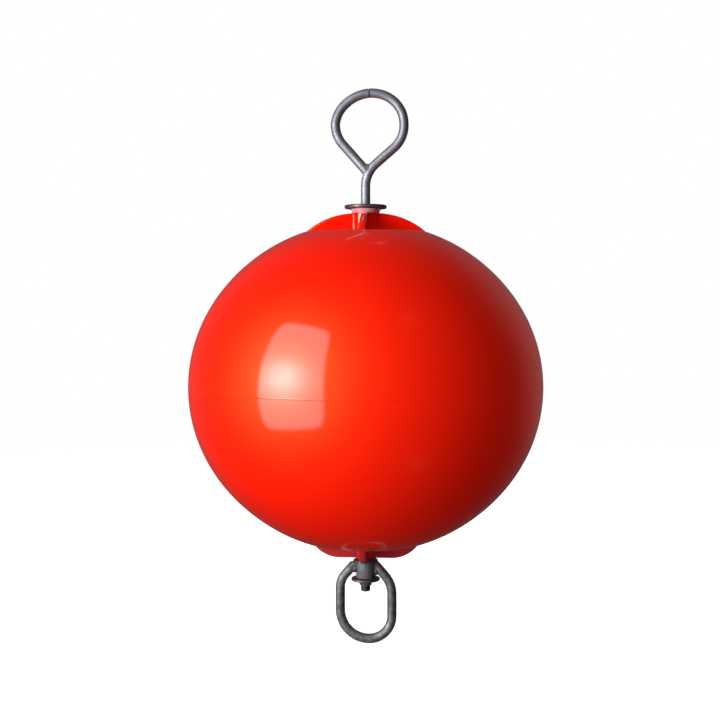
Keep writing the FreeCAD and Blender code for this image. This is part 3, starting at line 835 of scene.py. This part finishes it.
def eyePaths(s, tail):
    leg, lean = math.radians(s["legAngle"]), s["lean"]
    topDrop = (s["spread"] ** 2 - s["crest"] ** 2) / (2 * s["crest"])
    topRadius = s["sideRadius"] + s["crest"] + topDrop
    join = math.degrees(math.atan2(topDrop, s["spread"]))
    legX, legZ = s["spread"] + s["sideRadius"] * math.cos(leg), -s["sideRadius"] * math.sin(leg)
    crotch = eyeCrotch(s)
    centre = crotch + leaning(s, 0, legX / math.tan(leg) - legZ)
    topCentre = centre + leaning(s, 0, -topDrop)
    spare = math.degrees(math.asin(s["buttGap"] / 2 / topRadius))
    butt = 90 + s["buttTurn"]

    def half(side, turn, start):
        # from the start over the leg and up one side of the eye, to the butt at its top
        flank = centre + leaning(s, side * s["spread"], 0)
        first, last = turn - side * s["legAngle"] - lean, turn + side * join - lean
        path = bentPath(start + [(*(centre + leaning(s, side * legX, legZ)), 0)])
        path += ringArc(flank, s["sideRadius"], first, last, s["sideSteps"])
        return path + ringArc(topCentre, topRadius, last, butt - side * spare, s["crestSteps"])
    right = half(1, 0, [(0, tail, 0), (0, s["bend"], s["bendRadius"])])
    left = half(-1, 180, [(*crotch, 0)])
    for point in right + left:  # a bar bent by hand: the upper half leans a little further
        above = max(0.0, point.y - s["swayFrom"])
        point.x += s["sway"] * (math.hypot(above, s["swayEase"]) - s["swayEase"])
    return right, left


rightPath, leftPath = eyePaths(eyeSet, nodeSpan("eye_rod")[0])
for name, path, ease, grime, seed, node in (
        ("rodBar", rightPath, eyeSet["tailEase"], eyeSet["tailGrime"], eyeSet["rodSeed"], "eye_rod"),
        ("eyeLeftBar", leftPath, eyeSet["crotchEase"], 0.0, eyeSet["leftSeed"], "eye_left_half")):
    bar = barPiece(name, path, eyeSet, brightZinc, (ease, eyeSet["buttEase"]),
                   (grime, eyeSet["buttGrime"]), seed)
    settle(bar, brightZinc, "rod", "galvanised", node)
print("rod and eye swept")

bowSet = {
    "barRadius": 6.0, "armAngle": 41.0, "lowPoint": 5.0, "start": 4.8, "hubBite": 0.3,
    "arms": {  # side, reach, gap beside the lower washer, bend radius, and steps round its quarter
        "left": (-1, 32.2, 2.8, 23.0, 44), "right": (1, 33.5, 0.5, 36.0, 34),
    },
    # the last setting is a band of painted shade on the uprights, leaving the bottom arc lighter as if lit
    # from below
    "unevenness": 0.28, "seed": 7.9, "shadeBand": (-292.0, -262.0, 14.0, 0.42),
}
armSlant = math.radians(bowSet["armAngle"])
washerLow, washerTop, washerReach = nodeSpan("lower_swivel_washer")


def armCorner(s, reach, gap):
    # how high an arm turns down, so that it passes the lower washer's rim at the gap
    clear = (s["barRadius"] + gap) / math.cos(armSlant)
    return washerTop - (reach - washerReach - clear) / math.tan(armSlant)


def bowPath(s, lowLine):
    sides = []
    for side, reach, gap, bend, steps in s["arms"].values():
        corner, radius = armCorner(s, reach, gap), reach - side * s["lowPoint"]
        top = corner + (reach - s["start"]) / math.tan(armSlant)
        centre = Vector((s["lowPoint"], lowLine + radius))
        start, foot = (side * s["start"], top, 0), (side * reach, centre.y, 0)
        upper = bentPath([start, (side * reach, corner, bend), foot])
        first = 180 if side < 0 else 270
        sides.append((upper, ringArc(centre, radius, first, first + 90, steps)))
    (left, leftArc), (right, rightArc) = sides
    return left + leftArc + rightArc + right[-2::-1]


cutterSet = {"bore": 0.4, "edges": (0.1, 0.1, 0.1), "steps": 96}
past = 30.0  # how far a cutter runs on beyond its cut


def cutAway(piece, name, reach, low, high):
    # takes out of a piece what lies between two heights, up to a reach from the rod's axis
    cutter = turnedTube(name, cutterSet["bore"], reach, low, high, cutterSet["edges"], cutterSet["steps"])
    modifier = piece.modifiers.new("cut", "BOOLEAN")
    modifier.operation, modifier.solver, modifier.object = "DIFFERENCE", "EXACT", cutter
    bakeShape(piece)
    bpy.data.objects.remove(cutter)


bowLow = nodeSpan("bow")[0] + bowSet["barRadius"]
bowBar = barPiece("bowBar", bowPath(bowSet, bowLow), bowSet, dullZinc, plainEnds, seed=bowSet["seed"])
cutAway(bowBar, "hubCutter", hubReach - bowSet["hubBite"], hubLow - past, hubHigh + past)
cutAway(bowBar, "skyCutter", 2 * past, hubHigh, hubHigh + past)
cleanMesh(bowBar, joinFinely)
settle(bowBar, dullZinc, "bow", "dull_galvanised", "bow")
print("bow swept")


# welds: beads laid along a line over the solid's own form

def weldTree():
    tree, given, out = newTree("weldBeads", "GeometryNodeTree", {
        "Line": "Geometry", "Core": "Object", "Bead Radius": 0.0015, "Variation": 0.2, "Seed": 0,
        "Voxel": 0.0003, "Flow": 6, "Finish": "Material",
    }, {"Weld": "Geometry"})
    drop = addNode(tree, "GeometryNodeMeshIcoSphere", {"Radius": given["Bead Radius"], "Subdivisions": 3})
    few = doMath(tree, "SUBTRACT", 1.0, given["Variation"])
    more = doMath(tree, "ADD", 1.0, given["Variation"])
    drawn = {2: few, 3: more, "Seed": given["Seed"]}
    size = addNode(tree, "FunctionNodeRandomValue", drawn, data_type="FLOAT")
    beads = addNode(tree, "GeometryNodeInstanceOnPoints", {
        "Points": given["Line"], "Instance": drop.outputs[0], "Scale": size.outputs[1]})
    loose = addNode(tree, "GeometryNodeRealizeInstances", {0: beads.outputs[0]})
    core = addNode(tree, "GeometryNodeObjectInfo", {"Object": given["Core"]})
    both = addNode(tree, "GeometryNodeJoinGeometry")
    for geometry in (loose.outputs[0], core.outputs["Geometry"]):
        tree.links.new(geometry, both.inputs[0])
    voxels = {"Voxel Size": given["Voxel"]}
    cloud = addNode(tree, "GeometryNodeMeshToVolume", {
        "Mesh": both.outputs[0], **voxels, "Interior Band Width": 0.003}, resolution_mode="VOXEL_SIZE")
    skin = addNode(tree, "GeometryNodeVolumeToMesh", {
        "Volume": cloud.outputs[0], **voxels, "Threshold": 0.1}, resolution_mode="VOXEL_SIZE")
    where = addNode(tree, "GeometryNodeInputPosition").outputs[0]
    passes = {"Iterations": given["Flow"]}
    flowed = addNode(tree, "GeometryNodeBlurAttribute", passes, data_type="FLOAT_VECTOR")
    for socket in flowed.inputs:
        if socket.name == "Value" and socket.enabled:
            tree.links.new(where, socket)
    blurred = next(socket for socket in flowed.outputs if socket.enabled)
    shaped = addNode(tree, "GeometryNodeSetPosition", {"Geometry": skin.outputs[0], "Position": blurred})
    return endTree(tree, shaped, given["Finish"], out)


weldNodes = weldTree()
weldSet = {"variation": 0.22, "voxel": 0.3}


def nodeCore(node):
    core = linkNew(node + "Core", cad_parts[node].data.copy())
    core.matrix_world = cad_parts[node].matrix_world.copy()
    return cleanMesh(core)


def coreFrom(name, work):
    data = bpy.data.meshes.new(name + "Core")
    work.to_mesh(data)
    work.free()
    return linkNew(name + "Core", data)


def ballCore(name, x, z, radius):
    work = bmesh.new()
    bmesh.ops.create_icosphere(work, subdivisions=4, radius=radius * mm)
    bmesh.ops.translate(work, verts=work.verts, vec=(x * mm, 0, z * mm))
    return coreFrom(name, work)


def joinCores(name, cores):
    work = bmesh.new()
    for core in cores:
        work.from_mesh(core.data)
        bpy.data.objects.remove(core)
    return coreFrom(name, work)


def weldPiece(name, core, spots, s, finish, seedStep=0):
    # the beads and the core become one skin, and flow rounds its inner corners as melted metal does
    line = meshPiece(name, [tuple(c * mm for c in spot) for spot in spots], [])
    runTree(line, weldNodes, {
        "Core": core, "Bead Radius": s["bead"] * mm, "Variation": weldSet["variation"],
        "Seed": s["seed"] + seedStep, "Voxel": weldSet["voxel"] * mm, "Flow": s["flow"], "Finish": finish,
    })
    bpy.data.objects.remove(core)
    return cleanMesh(line, joinFinely)


def seamSpots(start, way, run, radius, inside, pitch, turnSteps=240, stride=0.1):
    # where a round bar's skin first enters another solid, walking along it in the XZ plane
    way = Vector((way[0], 0, way[1])).normalized()
    across = Vector((way.z, 0, -way.x))
    spots = []
    for i in range(turnSteps):
        turn = math.tau * i / turnSteps
        spoke = math.cos(turn) * across + math.sin(turn) * Vector((0, 1, 0))
        skin = Vector((start[0], 0, start[1])) + radius * spoke
        paces = (t * stride for t in range(round(run / stride)))
        walk = next((pace for pace in paces if inside(skin + way * pace)), None)
        if walk is not None:
            spot = skin + way * walk
            if all((spot - other).length >= pitch for other in spots):
                spots.append(spot)
    return spots


# rings of beads down the cone that holds the lower washer
tailSet = {  # each ring is its radius and how far it lies below the washer
    "rings": [(8.3, 1.6), (7.2, 3.4), (6.5, 5.0)], "pitch": 2.3, "stagger": 0.5,
    "bead": 1.3, "flow": 3, "seed": 5,
}
spots = []
for radius, down in tailSet["rings"]:
    count = round(math.tau * radius / tailSet["pitch"])
    for i in range(count):
        turn = math.tau * (i + down) / count
        height = washerLow - down - tailSet["stagger"] * (i % 2)
        spots.append((radius * math.cos(turn), radius * math.sin(turn), height))
tailWeld = weldPiece("tailWeld", nodeCore("rod_end_weld"), spots, tailSet, weldZinc)
settle(tailWeld, weldZinc, "rod", "dull_galvanised", "rod_end_weld")

# a fillet round each arm's end, and a blob in the corner under it
armSet = {
    "bead": 1.7, "pitch": 1.5, "flow": 14, "seed": 11, "seamRun": 50.0, "beadTop": 1.6,
    "reach": 7.0, "inset": 0.2, "bore": 7.6, "skyGap": 0.2, "ball": 6.5, "ballStep": 2.5,
    "wallInset": 0.06, "wallLow": 1.5, "wallTop": 1.0, "wallEdges": (0.3, 0.3, 0.3),
}
foot = hubReach - hubSet["zincBuild"]
wallSpan = (hubReach - armSet["wallInset"], hubLow + armSet["wallLow"], hubHigh - armSet["wallTop"])
for label, (side, reach, gap, _, _) in bowSet["arms"].items():
    name = label + "ArmWeld"
    corner = armCorner(bowSet, reach, gap)
    under = corner + (reach - foot) / math.tan(armSlant) - bowSet["barRadius"] / math.sin(armSlant)
    way = (-side * math.sin(armSlant), math.cos(armSlant))
    spots = seamSpots((side * reach, corner), way, armSet["seamRun"], bowSet["barRadius"],
                      lambda p: math.hypot(p.x, p.y) < hubReach, armSet["pitch"])
    spots = [spot for spot in spots if spot.z < hubHigh - armSet["beadTop"]]
    line = [Vector((side * x, corner + (reach - x) / math.tan(armSlant)))
            for x in (hubReach + armSet["reach"], bowSet["start"])]
    arm = barPiece(name + "Arm", line[:1] + straight(*line, 20),
                   evenBar(bowSet["barRadius"] - armSet["inset"]), weldZinc, plainEnds)
    cutAway(arm, name + "Bore", armSet["bore"], hubLow - past, hubHigh + past)
    cutAway(arm, name + "Sky", 2 * past, hubHigh - armSet["skyGap"], hubHigh + past)
    wall = turnedTube(name + "Wall", armSet["bore"], *wallSpan, armSet["wallEdges"])
    ball = ballCore(name, side * (foot + armSet["ballStep"]), under, armSet["ball"])
    armWeld = weldPiece(name, joinCores(name, [arm, wall, ball]), spots, armSet, weldZinc, side)
    settle(armWeld, weldZinc, "bow", "dull_galvanised", "bow_weld_" + label)

# the eye's left half is welded to the rod all round, with the crotch filled
crotchSet = {
    "bead": 1.2, "pitch": 1.2, "flow": 80, "seed": 21, "seamFrom": 12.0, "seamRun": 17.0, "touch": 0.06,
    "reach": 17.0, "swell": 0.12, "ends": (1.0, 1.0), "ball": 6.0, "ballRise": 4.6,
}
crotch = eyeCrotch(eyeSet)
legWay = leaning(eyeSet, 1.0, -1.0)
near = [[point for point in path if (point - crotch).length < crotchSet["reach"]]
        for path in (rightPath, leftPath)]
rodLine = [Vector((point.x, 0, point.y)) for point in near[0]]
touching = eyeSet["barRadius"] + crotchSet["touch"]
seamStart = crotch - legWay * crotchSet["seamFrom"]
spots = seamSpots(seamStart, legWay, crotchSet["seamRun"], eyeSet["barRadius"],
                  lambda p: min((p - point).length for point in rodLine) < touching, crotchSet["pitch"])
fullBar = evenBar(eyeSet["barRadius"] + crotchSet["swell"])
cores = [barPiece("crotchCore", path, fullBar, brightZinc, crotchSet["ends"]) for path in near]
fill = crotch + leaning(eyeSet, 0, crotchSet["ballRise"])
cores.append(ballCore("crotchBall", fill.x, fill.y, crotchSet["ball"]))
crotchWeld = weldPiece("crotchWeld", joinCores("crotchWeld", cores), spots, crotchSet, brightZinc)
settle(crotchWeld, brightZinc, "rod", "galvanised", "eye_weld")
print("welds laid")
